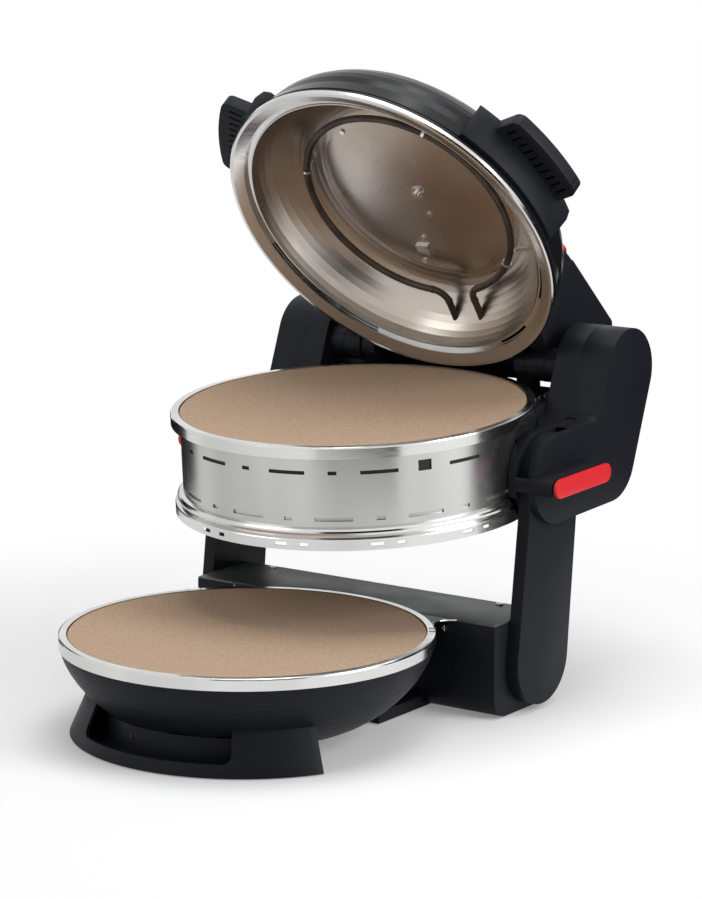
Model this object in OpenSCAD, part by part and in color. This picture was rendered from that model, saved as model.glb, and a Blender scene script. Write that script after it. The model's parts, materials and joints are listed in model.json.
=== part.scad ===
// Two-level electric pizza maker, shown open: a fixed lower pan, a middle drum carried by two
// swinging side arms, and a domed lid hinged to the drum.
// Front is -Y and up is +Z. The origin is under the middle of the open machine, on the table.

/* [Stones and rims] */
// Radius of both baking stones
stone_r = 165; // [120:1:200]
// Thickness of a baking stone
stone_t = 9; // [6:0.5:14]
// Play round a baking stone
stone_play = 0.8; // [0.4:0.1:2]
// Width of the flat metal ring round a stone
rim_land = 7.8; // [5:0.2:14]
// Height of the outer band of a rim
rim_h = 11; // [8:0.5:18]
// Thickness of the sheet metal
sheet = 1.2; // [0.8:0.1:2]

/* [Lower pan] */
// Height of the lower rim above the table
pan_top = 94; // [80:1:120]
// Height of the bowl's underside above the table
bowl_floor = 10; // [8:1:20]
// Width of the bowl's sloping side, from the rim to the flat underside
bowl_slope_w = 78.6; // [60:0.2:95]
// Wall of the moulded bowl
bowl_wall = 2.6; // [2:0.1:4]
// How full the bowl's side is: 2 is round, 1 is a cone
bowl_fullness = 1.5; // [1.2:0.05:2.2]

/* [Front foot] */
// How far the foot's lower edge stands inside the rim
foot_inset = 9.1; // [4:0.1:14]
// Height of the foot's two side panels
foot_h = 43.5; // [30:0.5:50]
// How far the foot leans in towards its top
foot_lean = 19; // [8:0.5:24]
// Half of the angle that the foot covers
foot_half_angle = 61; // [50:1:70]
// Half of the angle of the hand opening in the foot
notch_half_angle = 31.5; // [20:0.5:40]
// Height of the sill under the hand opening
notch_sill = 12; // [8:0.5:20]
// Wall of the front foot
foot_wall = 3; // [2:0.1:4]
// Depth of the finger space behind the hand opening
foot_recess = 30; // [20:1:34]
// Radius of the opening's lower corners
notch_corner_r = 8; // [4:0.5:11]

/* [Rear base] */
// How far the base's front face stands inside the rim
front_tuck = 22.6; // [18:0.2:26]
// Distance of the base's back behind the arms' pivots
base_behind = 19.9; // [19:0.1:30]
// Height of the rear base with its top plate
base_h = 92; // [86:1:118]
// Thickness of the metal top plate
top_plate_t = 2; // [1.5:0.1:3]
// Wall of the base housing
base_wall = 3; // [2:0.1:4]
// Radius of the base's lower front edge
base_edge_r = 20; // [8:1:30]
// Clearance between the pan and the base round it
pan_gap = 1.5; // [1:0.1:3]
// Distance of a support rail's middle from the centre
rail_x = 80; // [60:1:95]
// Width of a support rail
rail_w = 24; // [16:1:30]
// Height of a support rail
rail_h = 12; // [9:0.5:16]
// How far the underside stands above the table
ground_gap = 1; // [0.5:0.1:2]
// Radius of a rubber pad
pad_r = 8; // [5:0.5:10]
// Thickness of a rubber pad
pad_t = 4; // [3:0.5:6]

/* [Side arms] */
// Distance between the two pivots of an arm
arm_len = 172.1; // [165:0.1:178]
// Half of an arm's width at the base
arm_half_w = 44; // [36:0.5:46]
// Radius of an arm's upper end
arm_head_r = 41.5; // [36:0.5:42]
// How far the arm's outline stands behind the line between its pivots
arm_shift = 4; // [0:0.5:5]
// Thickness of an arm
arm_t = 12.5; // [11:0.25:16]
// How far the open arm leans back, in degrees
arm_lean = 6.6; // [3:0.1:9]
// How far the closed arm leans forward, in degrees
arm_drop = 63.3; // [62:0.1:66]
// Running gap beside each face of an arm
arm_gap = 0.6; // [0.4:0.1:1.2]
// Radius of the round boss that an arm turns on
boss_r = 30; // [26:0.5:32]
// Radius of the neck that carries a boss in the base's wall
neck_r = 13.5; // [11:0.5:14]
// Radius of the steel pins in the arms
pin_r = 6; // [4:0.25:7]
// Radial clearance of everything that turns
run_fit = 0.05; // [0.02:0.01:0.09]
// Distance of a levelling link's pin from the arm's pivot
link_arm = 22; // [20:0.5:24]
// Half of a levelling link's width
link_half_w = 5; // [3.5:0.25:5.5]
// Thickness of a levelling link
link_t = 3; // [2:0.25:3.5]
// Radius of a levelling link's pin
link_pin_r = 3; // [2:0.25:3.25]

/* [Drum] */
// Height of the drum from its lower edge to its top rim
drum_h = 96.8; // [88:0.1:110]
// How far the wall is set in from the rims
wall_inset = 8.8; // [6:0.2:12]
// How far the lower flange stands inside the rim
flange_in = 0.9; // [0.6:0.1:3]
// Height of the lower flange with its bead
flange_h = 20.2; // [14:0.1:24]
// How far the flange's bead stands out from the wall
bead_out = 5.6; // [3:0.2:7]
// Height of the bead
bead_h = 9; // [6:0.5:11]
// Gap between the drum and the pan when closed
seat_gap = 0.4; // [0.2:0.1:1]
// How far the open drum tips forward, in degrees
drum_tip = 3.7; // [0:0.1:5]
// Distance of the arm pivot from the rear edge of the rim
pivot_tuck = 116.2; // [112:0.2:120]
// Depth of the arm pivot below the drum's rim
pivot_drop = 64; // [60:0.5:68]
// Angle between two neighbouring wall slots
slot_pitch = 30; // [20:5:60]
// Length of a long slot
slot_long = 35; // [20:1:40]
// Length of a short slot
slot_short = 8; // [5:0.5:14]
// Length of the flange's longer slots
slot_mid = 12; // [8:0.5:20]
// Height of a slot
slot_h = 3.4; // [2:0.1:4]
// Depth of the upper slot row below the rim
slot_row_up = 26; // [18:0.5:34]
// Depth of the lower slot row below the rim
slot_row_low = 69.5; // [55:0.5:72]
// Depth of the heating space under the upper stone
drum_pan_depth = 27; // [20:0.5:30]

/* [Drum carriers] */
// Half of a carrier's width
leg_half_w = 42; // [38:0.5:46]
// How far the round front end stands in front of the arm pivot
head_ahead = 4.3; // [0:0.1:8]
// Distance of the elbow from the rear edge of the rim
elbow_tuck = 21.5; // [14:0.5:28]
// How far the elbow stands below the arm pivot
elbow_drop = 3; // [0:0.5:6]
// Length of the carrier's upper part
upright_len = 85.5; // [78:0.5:92]
// How far the upper part leans back, in degrees
upright_lean = 24.7; // [14:0.1:28]
// Thickness of the carrier's inner shell
leg_inner_t = 26.5; // [20:0.5:28]
// Thickness of the plate outside the arm
leg_face_t = 7; // [4:0.2:8]
// Thickness of the frame inside the arm
leg_frame_t = 12; // [7:0.2:13]
// Wall of the carrier's shells
leg_wall = 3; // [2:0.1:4]
// Radius in the carrier's inner corner
elbow_fillet = 18; // [6:1:22]

/* [Handle bars] */
// Width of a handle bar from front to back
bar_w = 98; // [92:1:104]
// Height of a handle bar
bar_h = 18; // [16:0.5:24]
// How far a handle bar stands out
bar_out = 20.5; // [18:0.5:32]
// How far a handle bar's middle stands in front of the arm pivot
bar_ahead = 0.6; // [0:0.2:8]
// How far a handle bar drops towards the back, in degrees
bar_droop = 2.3; // [0:0.1:5]
// Thickness of the red end button
button_t = 6; // [4:0.5:8]
// Travel of the red end button
button_travel = 2; // [1:0.25:3]
// Gap round and behind the red end button
button_gap = 0.4; // [0.3:0.1:0.8]

/* [Lid] */
// Distance of the lid's hinge from the rear edge of the rim
hinge_tuck = 4.6; // [0:0.1:5.5]
// Height of the lid's hinge above the drum's rim
hinge_up = 13.6; // [12:0.2:24]
// Gap between the closed lid and the drum
lid_gap = 0.6; // [0.4:0.1:1]
// How far the lid opens, in degrees
lid_open = 58.2; // [40:0.1:70]
// Height of the lid's black shell
lid_h = 89; // [84:0.5:110]
// Depth of the reflector inside the lid
reflector_depth = 62; // [50:0.5:66]
// Width of the lid's rounded shoulder
lid_shoulder_w = 88; // [60:1:110]
// Height of the lid's rounded shoulder
lid_shoulder_h = 64; // [40:1:72]
// Distance of the reflectors' flat crown from a stone's edge
crown_inset = 65; // [53:1:85]
// Wall of the moulded lid
lid_wall = 2.6; // [2:0.1:4]
// Height of the lid's metal band
lid_band = 4.6; // [3:0.2:8]
// Room between the lid's rear housing and a carrier
housing_side_gap = 16.8; // [12:0.2:24]
// How far the housing reaches back past the rim
housing_over = 44.4; // [38:0.2:48]
// Height of the rear housing
housing_h = 121; // [114:0.5:128]
// Height of the housing's underside above the lid's edge
housing_low = 15; // [12:0.5:18]
// Slope of the housing's top towards the back, in degrees
housing_slope = 12.2; // [9:0.1:15]
// Radius of the housing's upper rear edge
housing_edge_r = 9; // [6:0.5:14]
// Distance of the step in the housing's sides from the rear edge of the rim
housing_step_tuck = 63.6; // [58:0.2:68]
// Radius of the hinge barrels
barrel_r = 16; // [12:0.5:17]
// Radius of the hinge pins
hinge_pin_r = 5; // [3:0.25:7]
// Angle of the lid's handles in front of the cross axis
grip_angle = 23; // [10:0.5:30]
// Width of a lid grip
grip_w = 92; // [80:1:110]
// How far a lid grip reaches out past the rim
grip_out = 33; // [26:0.5:42]
// Height of a lid grip's underside above the lid's edge
grip_z = 37; // [30:0.5:42]
// Thickness of a lid grip
grip_t = 13; // [10:0.5:18]
// Radius of a lid grip's outer corners
grip_corner_r = 9; // [4:0.5:14]
// Half of the angle that the pad behind a lid grip covers
pad_half_angle = 22.5; // [19:0.5:26]
// Radius of the thermostat knob
knob_r = 17; // [13:0.5:19]
// Height of the thermostat knob
knob_h = 6; // [5:0.25:9]

/* [Heating elements] */
// Distance of a heating element's ring from the stone's edge
heater_inset = 55; // [48:1:75]
// Radius of the element's tube
heater_tube_r = 3.4; // [2.5:0.1:4.5]
// Half of the gap between the element's two ends
heater_gap = 16; // [12:0.5:24]
// Radius of the bends at the element's two ends
heater_bend_r = 16; // [10:0.5:20]
// Clearance of the element's ends in the sheet metal
heater_play = 0.25; // [0.15:0.05:0.6]

/* [Hidden] */
$fn = 96;

black = "#24262b";
steel = "#c9c9c6";
stone_colour = "#c2a68a";
red = "#d8323a";
element_colour = "#5d5047";
plate_colour = "#8f9896";

// radii that follow from the stone
land_in = stone_r + stone_play;
rim_r = land_in + rim_land;
wall_r = rim_r - wall_inset;
flange_r = rim_r - flange_in;
bowl_flat_r = rim_r - bowl_slope_w;
foot_r = rim_r - foot_inset;
base_front = rim_r - front_tuck;
pivot_back = rim_r - pivot_tuck;
hinge_back = rim_r - hinge_tuck;
housing_back = rim_r + housing_over;
heater_r = stone_r - heater_inset;
crown_r = stone_r - crown_inset;

// across the machine, from the drum's side outwards
base_half_w = rim_r - 0.3;
arm_in = base_half_w + arm_gap;
arm_out = arm_in + arm_t;
leg_face_in = arm_out + arm_gap;
leg_out = leg_face_in + leg_face_t;
frame_out = arm_in - arm_gap;
leg_split = frame_out - leg_frame_t;
leg_in = leg_split - leg_inner_t;
bar_end = leg_out + bar_out;
housing_half_w = leg_in - housing_side_gap;

// pivots, seen from the side as [y, z]
drum_closed_z = pan_top + seat_gap + drum_h;
pivot_closed = [pivot_back, drum_closed_z - pivot_drop];
base_pivot = pivot_closed + arm_len * [sin(arm_drop), -cos(arm_drop)];
pivot_open = base_pivot + arm_len * [sin(arm_lean), cos(arm_lean)];
function turn2(p, a) = [p.x * cos(a) - p.y * sin(a), p.x * sin(a) + p.y * cos(a)];
drum_at = pivot_open - turn2([pivot_back, -pivot_drop], drum_tip);
hinge_local = [hinge_back, hinge_up];
hinge_at = drum_at + turn2(hinge_local, drum_tip);
lid_hinge = hinge_local - [0, lid_gap];
lid_tilt = drum_tip - lid_open;
lid_at = hinge_at - turn2(lid_hinge, lid_tilt);

// levelling links: pin offsets from the arm's pivots, and the link's ends when open
link_dir = (arm_drop - arm_lean) / 2;
link_low = turn2([link_arm, 0], link_dir);
link_shrink = 2 * link_arm * sin(drum_tip / 2) * cos((arm_drop + arm_lean) / 2)
    / (2 * sin((arm_drop + arm_lean) / 2));
link_high_level = turn2([link_arm - link_shrink, 0], link_dir - drum_tip / 2);
link_from = base_pivot + link_low;
link_to = pivot_open + turn2(link_high_level, drum_tip);

// the origin stands midway between the foremost and the rearmost point
housing_corner = [housing_back - housing_edge_r, housing_h - housing_edge_r];
rear_reach = lid_at.x + turn2(housing_corner, lid_tilt).x + housing_edge_r;
pan_y = -(rear_reach - rim_r) / 2;
base_back = base_pivot.x + base_behind;

module at_pan() {
    translate([0, pan_y, 0]) children();
}

module at_side(p) {
    translate([0, pan_y + p.x, p.y]) children();
}

module on_drum() {
    at_side(drum_at) rotate([drum_tip, 0, 0]) children();
}

module on_lid() {
    at_side(lid_at) rotate([lid_tilt, 0, 0]) children();
}

// side = 1 is the right-hand side (+X), side = -1 the left
module sided(side) {
    mirror([side < 0 ? 1 : 0, 0, 0]) children();
}

// extrudes a side view, drawn as [y, z], from x0 to x1
module slab(x0, x1) {
    translate([x0, 0, 0]) rotate([90, 0, 90]) linear_extrude(x1 - x0) children();
}

// a round bar along X at p = [y, z]
module rod(p, r, x0, x1) {
    translate([x0, p.x, p.y]) rotate([0, 90, 0]) cylinder(r = r, h = x1 - x0);
}

// two round ends of radius r, joined by a bar of half width w
module capsule2d(p, q, r, w) {
    d = q - p;
    half = is_undef(w) ? r : w;
    translate(p) circle(r);
    translate(q) circle(r);
    translate(p) rotate(atan2(d.y, d.x)) translate([0, -half]) square([norm(d), 2 * half]);
}

// two round ends of different radii with the straight sides that touch both
module taper2d(p, q, rp, rq) {
    d = q - p;
    a = atan2(d.y, d.x);
    b = acos((rp - rq) / norm(d));
    function out(t) = [cos(t), sin(t)];
    translate(p) circle(rp);
    translate(q) circle(rq);
    polygon([p, p + rp * out(a - b), q + rq * out(a - b), q,
             q + rq * out(a + b), p + rp * out(a + b)]);
}

module ring(r_out, r_in, z0, z1) {
    translate([0, 0, z0]) difference() {
        cylinder(r = r_out, h = z1 - z0, $fn = 180);
        translate([0, 0, -1]) cylinder(r = r_in, h = z1 - z0 + 2, $fn = 180);
    }
}

// a metal rim with a flat land at z = 0, an outer band, a return to r_in and an inner lip
module rim_ring(r_in) {
    rotate_extrude($fn = 180) polygon([
        [land_in, 0], [rim_r - 1.6, 0], [rim_r - 0.5, -0.5], [rim_r, -1.6],
        [rim_r, -rim_h], [r_in, -rim_h], [r_in, sheet - rim_h],
        [rim_r - sheet, sheet - rim_h], [rim_r - sheet, -sheet],
        [land_in + sheet, -sheet], [land_in + sheet, -stone_t], [land_in, -stone_t]
    ]);
}

module baking_stone() {
    color(stone_colour) rotate_extrude($fn = 180) polygon([
        [0, -0.5 - stone_t], [stone_r - 1, -0.5 - stone_t], [stone_r, 0.5 - stone_t],
        [stone_r, -1.5], [stone_r - 1, -0.5], [0, -0.5]
    ]);
}

// where a heating element's straight ends begin: on the ring, or past the bends of a bent one
ends_y = sqrt(heater_r * heater_r - heater_gap * heater_gap);
bend_half = asin((heater_gap + heater_bend_r) / (heater_r + heater_bend_r));
bend_y = (heater_r + heater_bend_r) * cos(bend_half);
joint_r = heater_tube_r + 0.5;

// the two straight ends of a heating element at height z: they run from y = start out to
// r_end and up by end_rise; turn moves them round the axis
module heater_ends(z, start, r_end, end_rise, turn, r) {
    run = [r_end - start, end_rise];
    for (s = [-1, 1]) rotate([0, 0, turn]) translate([s * heater_gap, start, z])
        rotate([atan2(run.y, run.x) - 90, 0, 0]) cylinder(r = r, h = norm(run));
}

// the ring of a heating element, open by twice the angle half, with a ball at each end
module heater_ring(z, half, turn) {
    rotate([0, 0, turn + 90 + half]) rotate_extrude(angle = 360 - 2 * half)
        translate([heater_r, z]) circle(heater_tube_r);
    for (s = [-1, 1]) rotate([0, 0, turn]) translate([s * heater_r * sin(half),
        heater_r * cos(half), z]) sphere(joint_r);
}

module heater(z, r_end) {
    color(element_colour) {
        heater_ring(z, asin(heater_gap / heater_r), 0);
        heater_ends(z, ends_y, r_end, 0, 0, heater_tube_r);
    }
}

// a heating element whose ends leave the ring in two round bends
module bent_heater(z, r_end, end_rise, turn) {
    color(element_colour) {
        heater_ring(z, bend_half, turn);
        for (s = [-1, 1]) rotate([0, 0, turn]) {
            translate([s * (heater_gap + heater_bend_r), bend_y, z])
                rotate([0, 0, s > 0 ? 180 : 270 + bend_half])
                rotate_extrude(angle = 90 - bend_half)
                translate([heater_bend_r, 0]) circle(heater_tube_r);
            translate([s * heater_gap, bend_y, z]) sphere(joint_r);
        }
        heater_ends(z, bend_y, r_end, end_rise, turn, heater_tube_r);
    }
}

// ---- lower pan and base ----

bowl_top = pan_top - rim_h;
bowl_top_r = rim_r - sheet - 0.3;
function bowl_point(t, inset) = let (s = pow(sin(t), 2 / bowl_fullness),
    c = pow(cos(t), 2 / bowl_fullness))
    [bowl_flat_r + (bowl_top_r - bowl_flat_r - inset) * s,
     bowl_top - (bowl_top - bowl_floor - inset) * c];
function bowl_side(inset) = [for (t = [0:7.5:90]) bowl_point(t, inset)];

module pan_bowl() {
    inside = bowl_side(bowl_wall);
    n = len(inside);
    color(black) at_pan() difference() {
        rotate_extrude($fn = 180) polygon(concat(
            [[0, bowl_floor]], bowl_side(0),
            [for (i = [0:n - 1]) inside[n - 1 - i]], [[0, bowl_floor + bowl_wall]]
        ));
        for (a = [-50:20:50]) rotate([0, 0, a]) translate([0, -140, 30])
            cube([22, 50, 1.8], center = true);
    }
}

module pan_rim() {
    color(steel) at_pan() translate([0, 0, pan_top]) rim_ring(land_in + 0.1);
}

module lower_stone() {
    at_pan() translate([0, 0, pan_top]) baking_stone();
}

// a metal dish that carries the stone on its upper edge
dish_depth = 40;
module dish(depth, top, foot_radius) {
    rotate_extrude($fn = 180) polygon([
        [0, top - depth], [foot_radius, top - depth], [stone_r - 12, top - 4],
        [stone_r - 4, top - sheet], [land_in - 0.3, top - sheet], [land_in - 0.3, top],
        [stone_r - 5, top], [stone_r - 13.5, top - 3.4],
        [foot_radius - 0.6, top + sheet - depth], [0, top + sheet - depth]
    ]);
}

lower_heater_z = pan_top - 0.5 - stone_t - dish_depth * 0.42;
heater_edge = 25;
lower_heater_out = stone_r - heater_edge;
module lower_reflector() {
    color(steel) at_pan() difference() {
        dish(dish_depth, pan_top - 0.5 - stone_t, crown_r);
        heater_ends(lower_heater_z, ends_y, lower_heater_out + 1, 0, 0,
                    heater_tube_r + heater_play);
    }
}

module lower_heater() {
    at_pan() heater(lower_heater_z, lower_heater_out);
}

foot_bottom = ground_gap;
function foot_rad(z) = foot_r - foot_lean * z / foot_h;

module foot_sector(half_angle, z0, z1, out, in) {
    rotate([0, 0, -90 - half_angle]) rotate_extrude(angle = 2 * half_angle, $fn = 180)
        polygon([
            [foot_rad(z0) - in, z0], [foot_rad(z0) - out, z0],
            [foot_rad(z1) - out, z1], [foot_rad(z1) - in, z1]
        ]);
}

// cuts the hand opening with its two round lower corners
module foot_notch() {
    corner = asin(notch_corner_r / (foot_rad(notch_sill + notch_corner_r) - foot_wall / 2));
    foot_sector(notch_half_angle, notch_sill + notch_corner_r, foot_h + 1, -5, foot_wall + 5);
    foot_sector(notch_half_angle - corner, notch_sill, foot_h + 1, -5, foot_wall + 5);
    for (s = [-1, 1]) rotate([0, 0, s * (notch_half_angle - corner)])
        translate([0, 5 - foot_r, notch_sill + notch_corner_r]) rotate([90, 0, 0])
        translate([0, 0, -foot_lean]) cylinder(r = notch_corner_r + 0.03, h = foot_lean + 10);
}

foot_plate_z = 6;
recess_r = foot_r - foot_recess;
module front_foot() {
    inner_r = bowl_flat_r;
    sweep = 2 * foot_half_angle;
    color(black) at_pan() difference() {
        union() {
            difference() {
                foot_sector(foot_half_angle, foot_bottom, foot_h, 0, foot_wall);
                foot_notch();
            }
            // the floor, the recess's back and the two ends
            rotate([0, 0, -90 - foot_half_angle]) rotate_extrude(angle = sweep, $fn = 180) {
                polygon([
                    [inner_r, foot_bottom], [foot_rad(foot_bottom) - foot_wall / 2, foot_bottom],
                    [foot_rad(foot_plate_z) - foot_wall / 2, foot_plate_z],
                    [inner_r, foot_plate_z]
                ]);
                translate([recess_r - foot_wall, foot_bottom]) square([foot_wall, foot_h]);
            }
            for (a = [-foot_half_angle + 0.05, foot_half_angle - 1.25])
                rotate([0, 0, -90 + a]) rotate_extrude(angle = 1.2) polygon([
                    [inner_r + 1, foot_bottom + 1],
                    [foot_rad(foot_bottom + 1) - foot_wall / 2, foot_bottom + 1],
                    [foot_rad(foot_h) - foot_wall / 2, foot_h], [inner_r + 1, foot_h]
                ]);
        }
        rotate_extrude($fn = 180) polygon(concat(
            [[0, bowl_floor - 0.02]], bowl_side(-0.02), [[bowl_top_r, 200], [0, 200]]
        ));
        for (p = pad_places) if (p.y < 0) translate([p.x, p.y, -1])
            cylinder(r = pad_r, h = pad_t + 1);
    }
}

pad_places = [
    for (a = [-48, 0, 48]) [foot_r * 0.88 * sin(a), -foot_r * 0.88 * cos(a)],
    [-base_half_w + 30, base_back - 18], [base_half_w - 30, base_back - 18]
];
module rubber_pads() {
    color("#1a1a1a") at_pan() for (p = pad_places) translate([p.x, p.y, 0])
        cylinder(r = pad_r, h = pad_t);
}

// side view of the rear base, with its round lower front edge
module base_side2d(inset, top) {
    e = base_edge_r;
    y0 = base_front + inset;
    y1 = base_back - inset;
    z0 = ground_gap + inset;
    r = e - inset;
    translate([y0 + r, z0 + r]) circle(r);
    translate([y0 + r, z0]) square([y1 - y0 - r, top - z0]);
    translate([y0, z0 + r]) square([y1 - y0, top - z0 - r]);
}

plate_bottom = base_h - top_plate_t;
base_floor_t = 2.5;
gland_x = 62 - base_half_w;
gland_z = 30;

cover_front = base_front + base_edge_r + 0.3;

// room in the housing for the rails of the bottom cover
module rail_notches() {
    play = 0.3;
    for (s = [-1, 1]) translate([s * rail_x - rail_w / 2 - play, base_front - 1, -1])
        cube([rail_w + 2 * play, cover_front - base_front + 2 + play, rail_h + play + 1]);
}

module base_housing() {
    color(black) at_pan() difference() {
        slab(-base_half_w, base_half_w) base_side2d(0, plate_bottom);
        slab(-base_half_w + base_wall, base_half_w - base_wall)
            base_side2d(base_wall, plate_bottom + 1);
        translate([0, 0, -1]) cylinder(r = rim_r + pan_gap, h = base_h + 2, $fn = 180);
        // open underside for the bottom cover
        translate([-base_half_w + base_wall, base_front + base_edge_r, -1])
            cube([2 * (base_half_w - base_wall), base_back - base_front - base_edge_r - base_wall,
                  base_wall + ground_gap + 1.5]);
        for (s = [-1, 1]) sided(s) rod(base_pivot, neck_r + 0.1, base_half_w - base_wall - 1,
                                       base_half_w + 1);
        rail_notches();
        translate([gland_x, base_back - base_wall - 1, gland_z]) rotate([-90, 0, 0])
            cylinder(r = 8, h = base_wall + 2);
        translate([0, base_back, 45]) for (i = [-3:3])
            translate([60 + 8 * i, 0, 0]) cube([3, 3 * base_wall, 24], center = true);
    }
    // curved front wall that follows the pan
    color(black) at_pan() difference() {
        intersection() {
            slab(-base_half_w + base_wall, base_half_w - base_wall)
                base_side2d(base_wall, plate_bottom);
            translate([0, 0, ground_gap + base_wall])
                cylinder(r = rim_r + pan_gap + base_wall, h = plate_bottom, $fn = 180);
        }
        translate([0, 0, -1]) cylinder(r = rim_r + pan_gap, h = base_h + 2, $fn = 180);
        rail_notches();
    }
}

module base_top_plate() {
    color(plate_colour) at_pan() difference() {
        translate([-base_half_w, base_front, plate_bottom])
            cube([2 * base_half_w, base_back - base_front, top_plate_t]);
        translate([0, 0, plate_bottom - 1])
            cylinder(r = rim_r + pan_gap, h = top_plate_t + 2, $fn = 180);
    }
}

module base_bottom_cover() {
    play = 0.3;
    y0 = cover_front;
    w = base_half_w - base_wall - play;
    color(black) at_pan() difference() {
        union() {
            translate([-w, y0, ground_gap])
                cube([2 * w, base_back - base_wall - play - y0, base_floor_t]);
            for (s = [-1, 1]) {
                translate([s * rail_x - rail_w / 2, bowl_flat_r - 15, ground_gap])
                    cube([rail_w, y0 - bowl_flat_r + 16, rail_h - ground_gap]);
                translate([s * rail_x, bowl_flat_r + 1, ground_gap]) cylinder(r = 8, h = 40);
            }
        }
        rotate_extrude($fn = 180) polygon(concat(
            [[0, bowl_floor - 0.02]], bowl_side(-0.02), [[bowl_top_r, 200], [0, 200]]
        ));
        for (p = pad_places) if (p.y > 0) translate([p.x, p.y, -1])
            cylinder(r = pad_r, h = pad_t + 1);
    }
}

screw_r = 3.4;
module screw_head(r = screw_r) {
    difference() {
        cylinder(r = r, h = 1.6, $fn = 24);
        translate([0, 0, 1.6]) cube([2 * r - 1.6, 0.8, 1.4], center = true);
        translate([0, 0, 1.6]) cube([0.8, 2 * r - 1.6, 1.4], center = true);
    }
}

module base_screws() {
    color(steel) at_pan() {
        for (x = [-base_half_w + 40, base_half_w - 40])
            translate([x, base_back - 9, base_h]) screw_head();
        for (x = [-base_half_w + 55, base_half_w - 55])
            translate([x, base_front, base_h - 10]) rotate([90, 0, 0]) screw_head();
    }
}

module cord_gland() {
    color("#1a1a1a") at_pan() translate([gland_x, base_back, gland_z]) rotate([-90, 0, 0])
        difference() {
            union() {
                translate([0, 0, -base_wall - 3]) cylinder(r = 8, h = base_wall + 3);
                cylinder(r = 11, h = 3);
                translate([0, 0, -base_wall - 6]) cylinder(r = 10.5, h = 3);
            }
            translate([0, 0, -base_wall - 7]) cylinder(r = 4, h = base_wall + 12);
        }
}

// ---- arms, their pivots and levelling links ----

boss_end = arm_in + 5.5;
link_in = boss_end + 0.6;
arm_plate_t = 2.6;
arm_skin = 2.5;
socket_r = 11.5;
collar_in = base_half_w - base_wall - 6;

module pivot_boss(side) {
    color("#3a3d42") at_pan() sided(side) {
        difference() {
            union() {
                rod(base_pivot, boss_r, base_half_w + 0.05, boss_end);
                rod(base_pivot, neck_r, base_half_w - base_wall - 3, base_half_w + 1);
                rod(base_pivot, neck_r + 2, base_half_w - base_wall - 3,
                    base_half_w - base_wall - 0.05);
            }
            rod(base_pivot, pin_r + run_fit, base_half_w - base_wall - 4, boss_end + 1);
        }
        rod(link_from, link_pin_r, boss_end, link_in + link_t + 0.4);
    }
}

// side view of an arm, drawn smaller all round by inset
module arm2d(inset) {
    translate(arm_shift * [cos(arm_lean), -sin(arm_lean)])
        taper2d(base_pivot, pivot_open, arm_half_w - inset, arm_head_r - inset);
}

module arm_plate(side) {
    color(black) at_pan() sided(side) difference() {
        slab(arm_in, arm_in + arm_plate_t) arm2d(0);
        for (p = [base_pivot, pivot_open])
            rod(p, boss_r + run_fit, arm_in - 1, arm_in + arm_plate_t + 1);
    }
}

module arm_cover(side) {
    color(black) at_pan() sided(side) difference() {
        union() {
            difference() {
                slab(arm_in + arm_plate_t, arm_out) arm2d(0);
                slab(arm_in + arm_plate_t - 1, arm_out - arm_skin) arm2d(arm_skin);
            }
            for (p = [base_pivot, pivot_open])
                rod(p, socket_r, boss_end + 0.4, arm_out - arm_skin / 2);
        }
        rod(base_pivot, pin_r, arm_in, arm_out - 1);
        rod(pivot_open, pin_r + run_fit, arm_in, arm_out - 1);
    }
}

module arm_pin(side) {
    color(steel) at_pan() sided(side) {
        rod(base_pivot, pin_r, collar_in, arm_out - 1);
        rod(base_pivot, pin_r + 4, collar_in - 3, collar_in);
    }
}

module level_link(side) {
    color(steel) at_pan() sided(side) difference() {
        slab(link_in, link_in + link_t) capsule2d(link_from, link_to, link_half_w, link_half_w - 1);
        rod(link_from, link_pin_r + run_fit, link_in - 1, link_in + link_t + 1);
        rod(link_to, link_pin_r + 0.8, link_in - 1, link_in + link_t + 1);
    }
}

// ---- drum ----

module slot_row(r, z, length, phase, depth = 8) {
    for (a = [0:slot_pitch:359]) rotate([0, 0, a + phase]) translate([0, -r, z])
        cube([length, depth, slot_h], center = true);
}

wall_bottom = drum_h - flange_h;
window_angle = 58;
module drum_wall() {
    color(steel) on_drum() difference() {
        ring(wall_r, wall_r - sheet, -wall_bottom, sheet - rim_h - 0.01);
        slot_row(wall_r, -slot_row_up, slot_long, 13);
        slot_row(wall_r, -slot_row_up, slot_short, 28);
        slot_row(wall_r, -slot_row_low, slot_long, -2);
        slot_row(wall_r, -slot_row_low, slot_short, 13);
        rotate([0, 0, window_angle]) translate([0, -wall_r, -slot_row_up + 2])
            cube([13, 8, 10], center = true);
    }
}

module drum_rim() {
    color(steel) on_drum() rim_ring(wall_r);
}

// the flange: a round bead below the wall and a band with slots that stands on the pan's rim
module drum_flange() {
    top = -wall_bottom;
    low = -drum_h;
    bead = wall_r + bead_out;
    under = top - bead_h;
    outer = [[wall_r, top], [bead - 1.8, top - 1.2], [bead - 0.4, top - 2.8],
             [bead, top - bead_h / 2], [bead - 0.4, under + 2.4], [bead - 1.6, under],
             [flange_r - 0.6, under - 1], [flange_r, under - 2], [flange_r, low]];
    inner = [[flange_r - sheet, low], [flange_r - sheet, under - 1.6 - sheet],
             [bead - 1.6 - sheet, under - sheet], [bead - 1.4 - sheet, under + 2.2],
             [bead - sheet, top - bead_h / 2], [bead - 1.4 - sheet, top - 3],
             [wall_r - sheet, top - sheet], [wall_r - sheet, top]];
    color(steel) on_drum() difference() {
        rotate_extrude($fn = 180) polygon(concat(outer, inner));
        slot_row(flange_r - 2, low + 5.4, slot_mid, 11.3, 16);
        slot_row(flange_r - 2, low + 5.4, slot_short, -11.3, 16);
    }
}

module upper_stone() {
    on_drum() baking_stone();
}

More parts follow.
